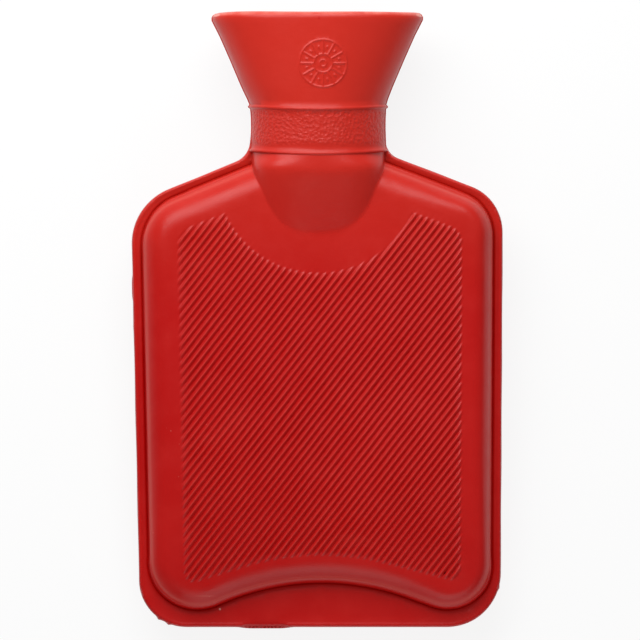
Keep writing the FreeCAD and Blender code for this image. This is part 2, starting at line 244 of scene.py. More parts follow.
# Date dial moulded on the funnel, with plain marks
DIAL_CENTRE = (2.1, 196.3)
DIAL_RING_RADII = (8.2, 3.2)
DIAL_SPOKES = 12
DIAL_LINE_HALF = 0.40
DIAL_LINE_HEIGHT = 0.30
DIAL_MARK_RADII = (5.3, 6.3)
DIAL_MARK_HALF = 0.45
DIAL_MARK_FADE = 0.3
DIAL_HUB_RADIUS = 1.1
DIAL_FAINT_SHARE = 0.8
DIAL_PATCH_RADIUS = 9.4
DIAL_PATCH_EDGE = 0.4
DIAL_FLUSH = 0.06
DIAL_STEP = 0.2
DIAL_SINK = 0.5

# Flash along the seam: (x, y, how far it stands out, half its length)
FLASH_NIBS = [
    (-64.9, 105.6, 0.35, 1.2),
    (-64.6, 118.5, 0.3, 4.0),
    (-54.5, 3.6, 0.55, 0.8),
    (-51.5, 1.6, 0.5, 0.6),
    (62.9, 147.4, 0.5, 0.7),
    (63.4, 14.3, 0.3, 0.8),
    (-18.0, 0.55, 0.5, 8.5),
]
FLASH_WAVE = 0.05
# Worn scoop in the front of the base edge
SCOOP_MIDDLE = -18.0
SCOOP_HALF_LENGTH = 8.2
SCOOP_REACH = 2.1
SCOOP_DEPTH = 0.75
SCOOP_TOP = 4.0
SCOOP_COLUMNS = 41
SCOOP_ROWS = (0.25, 0.5, 0.75, 1.0)

# Angle from which an edge is shaded sharp, and the length up to which a stray edge is dissolved
SHARP_FROM_DEG = 52.0
SMALLEST_EDGE = 2e-3


def mould_frame():
    """The mould's frame in the row frame, read from the neck's axis and the base edge."""
    joint = next(j for j in frame["joints"] if j["name"] == "stopper_turn")
    up = Vector(joint["axis"]).normalized()
    across = Vector((1, 0, 0))
    out = across.cross(up)
    pivot = Vector(joint["pos_m"])
    vertices = frame["nodes"]["bottle_body"].data.vertices
    origin = pivot + up * min((v.co - pivot).dot(up) for v in vertices)
    axes = Matrix((across, up, out)).transposed().to_4x4()
    return Matrix.Translation(origin) @ axes


MOULD = mould_frame()


def place(points):
    """Millimetres in the mould's frame, as metres in the row frame."""
    axes = np.array(MOULD.to_3x3())
    return np.asarray(points, float) * MM @ axes.T + np.array(MOULD.translation)


def rounded_outline(corners, inset=0.0, step=1.3):
    """Points along a closed outline of straight sides and tangent arcs, moved inwards by inset."""
    sharp = [Vector((x, y)) for x, y, _ in corners]
    count = len(corners)
    moved = []
    for i, corner in enumerate(sharp):
        into = (corner - sharp[i - 1]).normalized()
        out = (sharp[(i + 1) % count] - corner).normalized()
        normals = Vector((-into.y, into.x)) + Vector((-out.y, out.x))
        moved.append(corner + normals * (2 * inset / normals.length_squared))
    points = []
    for i, (_, _, radius) in enumerate(corners):
        corner = moved[i]
        back = (moved[i - 1] - corner).normalized()
        ahead = (moved[(i + 1) % count] - corner).normalized()
        bulges = back.x * ahead.y - back.y * ahead.x < 0
        grown = max(radius - inset, 0.0) if bulges else radius + inset
        if radius == 0.0:
            grown = 0.0
        half_angle = back.angle(ahead) / 2
        reach = grown / math.tan(half_angle)
        start = corner + back * reach
        end = corner + ahead * reach
        centre = corner + (back + ahead).normalized() * (grown / math.sin(half_angle))
        turn = math.pi - 2 * half_angle
        if points:
            points += straight(points[-1], start, step)
        if grown * turn < step / 4:
            points.append(start)
            continue
        first = math.atan2(start.y - centre.y, start.x - centre.x)
        sweep = turn if bulges else -turn
        steps = max(2, round(grown * turn / step))
        for k in range(steps + 1):
            angle = first + sweep * k / steps
            points.append(centre + Vector((math.cos(angle), math.sin(angle))) * grown)
    points += straight(points[-1], points[0], step)
    return np.array(points)


def straight(start, end, step):
    """Points strictly between two ends, about a step apart."""
    steps = max(1, round((end - start).length / step))
    return [start.lerp(end, k / steps) for k in range(1, steps)]


def depth_inside(outline, points, block=4000):
    """How far each point lies inside a closed outline. It is negative outside."""
    ends = np.roll(outline, -1, 0)
    run = ends - outline
    length = (run ** 2).sum(1) + 1e-12
    depth = np.empty(len(points))
    for first in range(0, len(points), block):
        p = points[first:first + block, None, :]
        share = np.clip(((p - outline) * run).sum(2) / length, 0, 1)
        gap = np.sqrt(((outline + share[..., None] * run - p) ** 2).sum(2)).min(1)
        crosses = (outline[:, 1] > p[..., 1]) != (ends[:, 1] > p[..., 1])
        rise = np.where(run[:, 1] == 0, 1e-12, run[:, 1])
        at_x = outline[:, 0] + (p[..., 1] - outline[:, 1]) * run[:, 0] / rise
        inside = (crosses & (p[..., 0] < at_x)).sum(1) % 2 == 1
        depth[first:first + block] = np.where(inside, gap, -gap)
    return depth


def smoothstep(low, high, value):
    share = np.clip((value - low) / (high - low), 0, 1)
    return share * share * (3 - 2 * share)


def smooth_max(a, b, width):
    """The larger of two heights, with a fillet where they cross."""
    share = np.clip(0.5 + (a - b) / (2 * width), 0, 1)
    return b + (a - b) * share + width * share * (1 - share)


def sway(x, y):
    """The slight unevenness of a soft moulding's faces, in mm."""
    return (0.10 * np.sin(x / 17 + 0.8) * np.cos(y / 23 + 0.4)
            + 0.06 * np.sin(x / 9 - y / 13 + 2.1)
            + 0.04 * np.cos(x / 6.5 + y / 8 + 1.0))


def scoop_share(x):
    """The scoop's outline over its length, from 0 at its two ends to 1 at its middle."""
    return np.sqrt(np.clip(1 - ((x - SCOOP_MIDDLE) / SCOOP_HALF_LENGTH) ** 2, 0, 1))


def scoop_points():
    """Rows of points over the scoop, the last along its upper border."""
    columns = SCOOP_MIDDLE + SCOOP_HALF_LENGTH * np.sin(np.linspace(-1.5, 1.5, SCOOP_COLUMNS))
    base = FLANGE_OUTLINE[0][1]
    return [(x, base + share * SCOOP_REACH * scoop_share(x)) for share in SCOOP_ROWS for x in columns]


def flange_height(x, y, from_edge, outside_wall, front):
    """The flange's rounded outer bead, and the groove that runs round the chamber's foot."""
    share = np.clip(1 - from_edge / BEAD_CREST, 0, 1)
    past = np.maximum(from_edge - BEAD_CREST, 0) / BEAD_FALL_WIDTH
    bead = FLANGE_HALF_THICKNESS * np.sqrt(1 - share ** BEAD_POWER) - BEAD_FALL * (1 - np.exp(-past ** 2))
    groove = GROOVE_DEPTH * np.exp(-((outside_wall - wall_width(y)) / GROOVE_WIDTH) ** 2)
    bead = bead - groove * smoothstep(0.0, GROOVE_FADE, from_edge)
    if front:
        share = scoop_share(x)
        worn = 1 - np.clip(from_edge / (SCOOP_REACH * share + 1e-6), 0, 1)
        bead = bead - SCOOP_DEPTH * worn * (share > 0) * (y < SCOOP_TOP)
    return np.maximum(bead, 0.0)


def wall_width(y):
    """The chamber's wall is steep along the sides and leans more at the shoulders and at the base."""
    lean = 1 - smoothstep(*BASE_LEAN, y) + smoothstep(*SHOULDER_LEAN, y)
    return WALL_WIDTH + WALL_LEAN * lean


def chamber_height(x, y, depth):
    """The raised chamber: a steep wall with a narrow rounded edge, a long roll-over and a flat face."""
    share = np.clip((depth + wall_width(y)) / (wall_width(y) + EDGE_WIDTH), 0, 1)
    steep = WALL_HEIGHT * (1 - (1 - BASE_WALL_SHARE) * (1 - smoothstep(*BASE_LEAN, y)))
    wall = steep * (1 - (1 - share) ** EDGE_POWER) ** (1 / EDGE_POWER)
    taper = TAPER * (np.maximum(TAPER_FROM - y, 0) / TAPER_LENGTH) ** 2
    face = CHAMBER_HEIGHT - taper - steep + sway(x, y) * smoothstep(*SWAY_FROM, depth)
    width = np.interp(y, *ROLL_WIDTHS) * (1 - (1 - RIGHT_ROLL_SHARE) * smoothstep(*RIGHT_ROLL_FROM, x))
    roll = 1 - (1 - np.clip(depth / width, 0, 1)) ** ROLL_POWER
    return wall + face * roll


def throat_height(x, y):
    """The neck's section, fuller below the bead, and the tongue that it slopes down as."""
    across = np.abs(x - THROAT_SHIFT) / THROAT_HALF_WIDTH
    power = 2 + THROAT_FULLNESS * (1 - smoothstep(*THROAT_FULL_BETWEEN, y))
    section = np.clip(1 - np.clip(across, 0, 1) ** power, 0, 1) ** (1 / power)
    below = (CREASE_HEIGHT - y) / CREASE_ROUND
    bend = TONGUE_SLOPE + BROW_SLOPE
    fall = CREASE_ROUND * bend * np.logaddexp(0, below) + BROW_SLOPE * (y - CREASE_HEIGHT)
    height = (THROAT_HALF_DEPTH * section - fall) * (1 - smoothstep(*THROAT_INSIDE_NECK, y))
    radius = np.hypot(x - THROAT_SHIFT, y - CREASE_HEIGHT)
    above_foot = (y > CREASE_HEIGHT) | (radius < THROAT_REACH)
    return np.where((across < 1) & above_foot, np.maximum(height, 0), 0.0)


def rib_height(x, y, depth):
    """The slanted ribs, slightly uneven in height, fading out at the field's border."""
    angle = math.radians(RIB_ANGLE_DEG)
    across = x * math.sin(angle) - y * math.cos(angle)
    phase = (across / RIB_PITCH + RIB_PHASE) % 1
    shares = [share for share, _ in RIB_SECTION] + [1.0]
    heights = [height for _, height in RIB_SECTION] + [RIB_SECTION[0][1]]
    wander = 1 + 0.06 * np.sin(x / 3.1 + y / 4.3) + 0.05 * np.sin(x / 11 - y / 7)
    rise = RIB_HEIGHT * wander * np.interp(phase, shares, heights) - RIB_ROOT
    return rise * smoothstep(0, RIB_FADE, depth)


def rib_field_depth(points):
    """How far a point lies inside the rib field, which an arc round the throat cuts into."""
    outline = rounded_outline(RIB_FIELD_OUTLINE)
    arc = np.hypot(points[:, 0] - THROAT_SHIFT, points[:, 1] - CREASE_HEIGHT) - RIB_ARC_RADIUS
    return np.minimum(depth_inside(outline, points), arc)


def face_height(points, front):
    """Height of the ribbed front face, or of the plain back face, over the seam plane at each (x, y)."""
    x, y = points.T
    from_edge = np.maximum(depth_inside(rounded_outline(FLANGE_OUTLINE), points), 0)
    wall_depth = depth_inside(rounded_outline(WALL_OUTLINE), points)
    height = chamber_height(x, y, wall_depth)
    height = np.maximum(flange_height(x, y, from_edge, -wall_depth, front), height)
    throat = throat_height(x, y)
    height = np.where(throat > 0, smooth_max(height, throat, THROAT_FILLET), height)
    if front:
        field = rib_field_depth(points)
        height = height + np.where(field > 0, rib_height(x, y, field), 0)
    return height


def ring_of(outline, first):
    """Edges that close a run of points into a ring."""
    count = len(outline)
    return [(first + k, first + (k + 1) % count) for k in range(count)]


def rib_lines():
    """Points along every rib's edges and crest, where they lie in the field, and the edges between."""
    angle = math.radians(RIB_ANGLE_DEG)
    along = np.array([math.cos(angle), math.sin(angle)])
    across = np.array([math.sin(angle), -math.cos(angle)])
    outline = rounded_outline(RIB_FIELD_OUTLINE)
    sides = outline @ across
    offsets = [
        (k + share - RIB_PHASE) * RIB_PITCH
        for k in range(math.floor(sides.min() / RIB_PITCH), math.ceil(sides.max() / RIB_PITCH) + 2)
        for share, _ in RIB_SECTION]
    points, edges = [], []
    for offset in offsets:
        for low, high in spans_inside(outline, offset, along, across):
            steps = rib_steps(low, high)
            start = len(points)
            points += [offset * across + t * along for t in steps]
            edges += [(start + k, start + k + 1) for k in range(len(steps) - 1)]
    return points, edges


def spans_inside(outline, offset, along, across):
    """The stretches of one rib line that lie in the field: inside its outline, outside its arc."""
    here, there = outline, np.roll(outline, -1, 0)
    gap_here, gap_there = here @ across - offset, there @ across - offset
    crosses = gap_here * gap_there < 0
    share = gap_here[crosses] / (gap_here[crosses] - gap_there[crosses])
    met = np.sort((here[crosses] + share[:, None] * (there[crosses] - here[crosses])) @ along)
    spans = list(zip(met[::2], met[1::2]))
    centre = np.array([THROAT_SHIFT, CREASE_HEIGHT])
    from_centre = centre @ across - offset
    if abs(from_centre) < RIB_ARC_RADIUS:
        half = math.sqrt(RIB_ARC_RADIUS ** 2 - from_centre ** 2)
        middle = centre @ along
        spans = [
            part for low, high in spans
            for part in ((low, min(high, middle - half)), (max(low, middle + half), high))]
    return [(low + RIB_CLEAR, high - RIB_CLEAR) for low, high in spans if high - low > SHORTEST_RIB]


def rib_steps(low, high):
    """Places along one rib line, close together where the rib fades out at its two ends."""
    length = high - low
    if length < SHORT_RIB:
        return np.linspace(low, high, max(2, round(length / SHORT_RIB_STEP)))
    count = max(2, round((length - 2 * RIB_ENDS[-1]) / RIB_STEP))
    middle = np.linspace(low + RIB_ENDS[-1], high - RIB_ENDS[-1], count + 1)
    return np.concatenate([low + np.array(RIB_ENDS[:-1]), middle, high - np.array(RIB_ENDS[:-1])[::-1]])


def panel_points(front):
    """Every point that one face of the bottle is drawn through, and the edges that it must keep."""
    border = rounded_outline(FLANGE_OUTLINE)
    points = list(border)
    edges = ring_of(border, 0)
    for inset in FLANGE_RINGS[1:]:
        ring = rounded_outline(FLANGE_OUTLINE, inset)
        depth = depth_inside(border, ring)
        points += [p for p, d in zip(ring, depth) if d > inset * RING_SHARE]
    points += scoop_points()
    for inset in ROLL_RINGS:
        ring = rounded_outline(WALL_OUTLINE, inset)
        keep = (depth_inside(border, ring) > RING_CLEAR) & ~under_throat(ring, 0.0)
        kept = {}
        for k, (p, ok) in enumerate(zip(ring, keep)):
            if ok:
                kept[k] = len(points)
                points.append(p)
        count = len(ring)
        edges += [(kept[k], kept[(k + 1) % count]) for k in kept if (k + 1) % count in kept]
    throat = throat_points()
    points += list(throat[depth_inside(border, throat) > THROAT_CLEAR])
    if front:
        first = len(points)
        lines, kept_edges = rib_lines()
        points += lines
        edges += [(a + first, b + first) for a, b in kept_edges]
    points += list(fill_points(border, front))
    return np.array(points), edges


def under_throat(points, margin):
    """Which points lie under the throat or within a margin of its sides."""
    across = np.abs(points[:, 0] - THROAT_SHIFT) < THROAT_HALF_WIDTH + margin
    near = np.hypot(points[:, 0] - THROAT_SHIFT, points[:, 1] - CREASE_HEIGHT) < THROAT_REACH
    return across & (near | (points[:, 1] > CREASE_HEIGHT))


def throat_points():
    """A grid over the throat, closer together towards its steep sides."""
    count = round(math.pi * THROAT_HALF_WIDTH / THROAT_STEP)
    angles = np.linspace(THROAT_END_ANGLE, math.pi - THROAT_END_ANGLE, count)
    columns = THROAT_SHIFT + THROAT_HALF_WIDTH * np.cos(angles)
    rows = np.arange(CREASE_HEIGHT - THROAT_REACH, THROAT_TOP, THROAT_STEP)
    grid = np.array([(x, y) for y in rows for x in columns])
    return grid[under_throat(grid, THROAT_MARGIN)]


def fill_points(border, front):
    """A loose triangular grid over the plain faces."""
    rows = np.arange(0.0, FILL_TOP, FILL_STEP * math.sqrt(3) / 2)
    grid = np.array([
        (x + (k % 2) * FILL_STEP / 2, y)
        for k, y in enumerate(rows)
        for x in np.arange(-FILL_HALF_WIDTH, FILL_HALF_WIDTH, FILL_STEP)])
    wall = depth_inside(rounded_outline(WALL_OUTLINE), grid)
    plain = (wall > FACE_FROM + CLEAR_OF_ROLL) & ~under_throat(grid, CLEAR_OF_THROAT)
    if front:
        plain &= rib_field_depth(grid) < -CLEAR_OF_RIBS
    flat_base = wall < ROLL_RINGS[0] - CLEAR_OF_ROLL
    flat_base &= depth_inside(border, grid) > FLANGE_RINGS[-1] + CLEAR_OF_FLANGE
    return grid[plain | flat_base]


def triangulate(points, edges):
    """A triangle mesh through the points that keeps the edges."""
    found = delaunay_2d_cdt([Vector(p) for p in points], edges, [], 0, 1e-5)
    return np.array([tuple(v) for v in found[0]]), [tuple(f) for f in found[2]]


def flash_out(border):
    """The border with the flash pushed out at its nibs."""
    ahead = np.roll(border, -1, 0) - np.roll(border, 1, 0)
    outwards = np.stack([ahead[:, 1], -ahead[:, 0]], 1)
    outwards /= np.linalg.norm(outwards, axis=1, keepdims=True)
    push = FLASH_WAVE + FLASH_WAVE * np.sin(border[:, 0] / 3.7) * np.sin(border[:, 1] / 5.3)
    for x, y, height, half_length in FLASH_NIBS:
        gap = np.hypot(border[:, 0] - x, border[:, 1] - y)
        push = np.maximum(push, height * (1 - smoothstep(half_length * 0.6, half_length * 1.3, gap)))
    return border + outwards * push[:, None]


def new_mesh(name, points, faces):
    mesh = bpy.data.meshes.new(name)
    mesh.from_pydata([tuple(p) for p in points], [], faces)
    mesh.validate()
    mesh.update()
    return mesh


def new_object(name, data):
    obj = bpy.data.objects.new(name, data)
    bpy.context.scene.collection.objects.link(obj)
    return obj


def make_panels():
    """The chamber, flange and throat: a front and a back face that meet at the seam."""
    border = rounded_outline(FLANGE_OUTLINE)
    pushed = flash_out(border)
    points, faces = [], []
    for side, front in ((1, True), (-1, False)):
        flat, triangles = triangulate(*panel_points(front))
        middles = np.array([flat[list(f)].mean(0) for f in triangles])
        inside = depth_inside(border, middles) > 0
        gap = np.sqrt(((flat[:, None, :] - border[None, :, :]) ** 2).sum(2))
        nearest = gap.argmin(1)
        on_border = gap.min(1) < 1e-4
        height = face_height(flat, front)
        height[on_border] = 0
        flat = np.where(on_border[:, None], pushed[nearest], flat)
        first = len(points)
        points += [(x, y, side * z) for (x, y), z in zip(flat, height)]
        for keep, f in zip(inside, triangles):
            if keep:
                f = f if side > 0 else f[::-1]
                faces.append(tuple(k + first for k in f))
    return closed_object("panels", points, faces)


def closed_object(name, points, faces):
    """A closed mesh, with points that coincide joined and its faces turned outwards."""
    mesh = new_mesh(name, points, faces)
    bm = bmesh.new()
    bm.from_mesh(mesh)
    bmesh.ops.remove_doubles(bm, verts=bm.verts, dist=1e-4)
    bmesh.ops.dissolve_degenerate(bm, edges=bm.edges, dist=1e-5)
    loose = [v for v in bm.verts if not v.link_faces]
    bmesh.ops.delete(bm, geom=loose, context="VERTS")
    bmesh.ops.recalc_face_normals(bm, faces=bm.faces)
    bm.to_mesh(mesh)
    bm.free()
    return new_object(name, mesh)


def section_angles():
    """Angles round an oval section, with extra ones where the parting line stands out."""
    even = np.linspace(0, 2 * math.pi, SECTION_POINTS, endpoint=False)
    edge = PARTING_HALF / THROAT_HALF_DEPTH
    places = (-1.0, -0.5, 0.5, 1.0)
    extra = [base + edge * place for base in (0, math.pi) for place in places]
    near = np.abs((even + math.pi / 2) % math.pi - math.pi / 2) < edge * PARTING_CLEAR_SHARE
    near[0] = near[SECTION_POINTS // 2] = False
    return np.sort(np.concatenate([even[~near], np.array(extra) % (2 * math.pi)]))


def close_sections(sections):
    """Sections added between the given ones where they lie far apart."""
    dense = []
    for now, after in zip(sections, sections[1:]):
        steps = max(1, round(math.dist(now[:3], after[:3]) / SECTION_STEP))
        start, change = np.array(now), np.array(after) - np.array(now)
        dense += [tuple(start + change * k / steps) for k in range(steps)]
    return dense + [sections[-1]]


def neck_sway(angle, y):
    """The slight unevenness of the funnel's rim and walls, in mm."""
    high = smoothstep(*FUNNEL_SWAY_FROM, y)
    return high * (0.16 * np.sin(3 * angle + 0.7) + 0.10 * np.sin(5 * angle + 2.0))


def make_neck():
    """The neck and the funnel, outside and inside, as one closed ring-shaped shell."""
    angles = section_angles()
    sections = close_sections(NECK_SECTIONS)
    top = max(range(len(sections)), key=lambda k: sections[k][0])
    rings = []
    for k, (y, half_width, half_depth, bow) in enumerate(sections):
        outside = k <= top
        ring = []
        for angle in angles:
            seam = PARTING_RISE if outside and y > PARTING_FROM and on_seam(angle) else 0.0
            uneven = neck_sway(angle, y)
            shift = NECK_SHIFT * (1 - smoothstep(*NECK_SHIFT_FADE, y))
            ring.append((
                shift + (half_width + seam + min(uneven, 0)) * math.cos(angle),
                y - bow * math.sin(angle) ** 2 + LIP_WAVE * uneven,
                (half_depth + min(uneven, 0)) * math.sin(angle)))
        rings.append(ring)
    start_y, _, _, start_bow = sections[0]
    for y, radius in ((SEAT_HEIGHT, BORE_RADIUS), (start_y - start_bow, BORE_RADIUS)):
        rings.append([(radius * math.cos(a), y, radius * math.sin(a)) for a in angles])
    return ring_shell("neck", rings, joined_ends=True)


def on_seam(angle):
    """Whether the parting line stands out at this angle round the neck."""
    return abs(math.sin(angle)) * THROAT_HALF_DEPTH < PARTING_HALF * PARTING_CREST_SHARE


def ring_shell(name, rings, joined_ends):
    """A closed shell through rings of equally many points: its ends are joined, or capped."""
    count = len(rings[0])
    points = [p for ring in rings for p in ring]
    faces = []
    total = len(rings)
    for k in range(total if joined_ends else total - 1):
        here, there = k * count, ((k + 1) % total) * count
        for i in range(count):
            j = (i + 1) % count
            faces.append((here + i, here + j, there + j, there + i))
    if not joined_ends:
        faces.append(tuple(range(count)))
        faces.append(tuple(reversed(range((total - 1) * count, total * count))))
    return closed_object(name, points, faces)


def make_hollow():
    """The inside of the chamber and of the throat, to cut from the panels."""
    layers = []
    for inset in HOLLOW_INSETS:
        share = max(0.0, 1 - (inset - WALL_THICKNESS) / (FACE_FROM - WALL_THICKNESS))
        rise = math.sqrt(max(0.0, 1 - share ** 2))
        layers.append((inset, (CHAMBER_HEIGHT - WALL_THICKNESS) * rise))
    base = rounded_outline(WALL_OUTLINE, layers[-1][0], step=HOLLOW_STEP)
    middle = base.mean(0)
    rings = []
    for side in (-1, 1):
        ordered = reversed(layers) if side < 0 else layers
        for inset, height in ordered:
            if side > 0 and height == 0:
                continue
            ring = resampled(rounded_outline(WALL_OUTLINE, inset, step=0.5), base - middle, middle)
            rings.append([(x, y, side * height) for x, y in ring])
    return ring_shell("hollow", rings, joined_ends=False)


def resampled(outline, directions, middle):
    """The outline's points in given directions from the middle."""
    angles = np.arctan2(outline[:, 1] - middle[1], outline[:, 0] - middle[0])
    order = np.argsort(angles)
    wanted = np.arctan2(directions[:, 1], directions[:, 0])
    period = 2 * math.pi
    x = np.interp(wanted, angles[order], outline[order, 0], period=period)
    y = np.interp(wanted, angles[order], outline[order, 1], period=period)
    return np.stack([x, y], 1)


def make_bore():
    """The way from the chamber up to the stopper's seat, to cut from the panels."""
    turns = np.linspace(0, 2 * math.pi, BORE_POINTS, endpoint=False)
    stations = [
        (BORE_FOOT, THROAT_BORE_RADIUS),
        (INSERT_FOOT, THROAT_BORE_RADIUS),
        (INSERT_FOOT, BORE_RADIUS + BORE_CLEARANCE),
        (BORE_TOP, BORE_RADIUS + BORE_CLEARANCE),
    ]
    rings = [[(r * math.cos(a), y, r * math.sin(a)) for a in turns] for y, r in stations]
    return ring_shell("bore", rings, joined_ends=False)


def combine(target, operation, *tools):
    """Joins or cuts closed meshes, and leaves the result in the first."""
    for tool in tools:
        change = target.modifiers.new(operation, "BOOLEAN")
        change.solver = "MANIFOLD"
        change.operation = operation
        change.object = tool
        graph = bpy.context.evaluated_depsgraph_get()
        mesh = bpy.data.meshes.new_from_object(target.evaluated_get(graph))
        target.modifiers.clear()
        old = target.data
        target.data = mesh
        bpy.data.meshes.remove(old)
        bpy.data.objects.remove(tool)


def funnel_face(x, y):
    """Depth of the neck's front face at places on it, found by stepping towards the right section."""
    top = max(range(len(NECK_SECTIONS)), key=lambda k: NECK_SECTIONS[k][0])
    heights, half_widths, half_depths, bows = zip(*NECK_SECTIONS[:top])
    section = np.array(y, float)
    for _ in range(5):
        half_width = np.interp(section, heights, half_widths)
        angle = np.arccos(np.clip(x / half_width, -1, 1))
        uneven = neck_sway(angle, section)
        section = y + np.interp(section, heights, bows) * np.sin(angle) ** 2 - LIP_WAVE * uneven
    half_depth = np.interp(section, heights, half_depths) + np.minimum(uneven, 0)
    return half_depth * np.sin(angle)


def ridge(gap, half_width):
    """The height of a soft moulded line, from 1 at its middle."""
    return np.exp(-(gap / half_width) ** 2)


def dial_height(radius, angle):
    """Two rings, the spokes between them, a plain mark in each field and a small hub."""
    inner, outer = min(DIAL_RING_RADII), max(DIAL_RING_RADII)
    rings = np.maximum(ridge(radius - inner, DIAL_LINE_HALF), ridge(radius - outer, DIAL_LINE_HALF))
    field = 2 * math.pi / DIAL_SPOKES
    off_spoke = (angle + field / 2) % field - field / 2
    between = (radius > inner) & (radius < outer)
    spokes = ridge(radius * np.sin(off_spoke), DIAL_LINE_HALF) * between
    off_mark = angle % field - field / 2
    low, high = DIAL_MARK_RADII
    begins = smoothstep(low - DIAL_MARK_FADE, low + DIAL_MARK_FADE, radius)
    ends = smoothstep(high + DIAL_MARK_FADE, high - DIAL_MARK_FADE, radius)
    marks = DIAL_FAINT_SHARE * ridge(radius * np.sin(off_mark), DIAL_MARK_HALF) * begins * ends
    hub = DIAL_FAINT_SHARE * ridge(radius - DIAL_HUB_RADIUS, DIAL_LINE_HALF)
    return np.maximum.reduce([rings, spokes, marks, hub])


def make_dial():
    """The date dial, as a thin patch whose relief stands on the funnel's front face."""
    count = round(DIAL_PATCH_RADIUS / DIAL_STEP)
    around = 4 * count
    turns = 2 * math.pi * np.arange(around) / around
    points = []
    for radius in np.linspace(DIAL_STEP, DIAL_PATCH_RADIUS, count)[:, None] * np.ones(around):
        x = DIAL_CENTRE[0] + radius * np.cos(turns)
        y = DIAL_CENTRE[1] + radius * np.sin(turns)
        at_edge = smoothstep(DIAL_PATCH_RADIUS - DIAL_PATCH_EDGE, DIAL_PATCH_RADIUS, radius)
        sunk = DIAL_FLUSH + DIAL_SINK * at_edge
        z = funnel_face(x, y) + DIAL_LINE_HEIGHT * dial_height(radius, turns) - sunk
        points.append(list(zip(x, y, z)))
    floor = [(x, y, z - DIAL_SINK) for x, y, z in points[-1]]
    heart = [(x, y, z - 2 * DIAL_SINK) for x, y, z in points[0]]
    return ring_shell("dial", points + [floor, heart], joined_ends=False)


def make_bottle():
    """The whole rubber moulding as one closed mesh in the row frame."""
    body = make_panels()
    combine(body, "DIFFERENCE", make_hollow(), make_bore())
    combine(body, "UNION", make_neck(), make_dial())
    body.name = "rubber_bottle"
    mesh = body.data
    bm = bmesh.new()
    bm.from_mesh(mesh)
    bmesh.ops.dissolve_degenerate(bm, edges=bm.edges, dist=SMALLEST_EDGE)
    bmesh.ops.triangulate(bm, faces=[f for f in bm.faces if len(f.verts) > 4])
    bm.to_mesh(mesh)
    bm.free()
    points = np.empty(len(mesh.vertices) * 3)
    mesh.vertices.foreach_get("co", points)
    points = points.reshape(-1, 3)
    mark_painted_light(mesh, points)
    mesh.vertices.foreach_set("co", place(points).ravel())
    mesh.polygons.foreach_set("use_smooth", np.ones(len(mesh.polygons), bool))
    mesh.set_sharp_from_angle(angle=math.radians(SHARP_FROM_DEG))
    mesh.update()
    return body


def mark_painted_light(mesh, points):
    """Stores two values at each point, which the rubber's colour follows.

    "crest" runs from below 0 in the ribs' grooves to 1 on their crests, and is 0 elsewhere; the colour
    paints shade in the grooves and a highlight on the crests. The other value runs from 0 to 1 on the
    edge of the chamber's wall, where the colour paints a highlight.
    """
    x, y, z = points.T
    field = rib_field_depth(points[:, :2])
    rise = rib_height(x, y, field) / (RIB_HEIGHT - RIB_ROOT)
    crest = np.where((field > 0) & (z > WALL_HEIGHT), rise, 0.0)
    mesh.attributes.new("crest", "FLOAT", "POINT").data.foreach_set("value", crest)
    # Painted highlight: a paler line along the wall's edge
    low, high = EDGE_HIGHLIGHT_HEIGHTS
    on_wall = (np.abs(z) > low) & (np.abs(z) < high) & (y < EDGE_HIGHLIGHT_TOP)
    depth = depth_inside(rounded_outline(WALL_OUTLINE), points[on_wall, :2])
    edge_highlight = np.zeros(len(points))
    edge_highlight[on_wall] = smoothstep(*EDGE_HIGHLIGHT_SPAN[:2], depth) * (1 - smoothstep(*EDGE_HIGHLIGHT_SPAN[2:], depth))
    mesh.attributes.new("edge_highlight", "FLOAT", "POINT").data.foreach_set("value", edge_highlight)


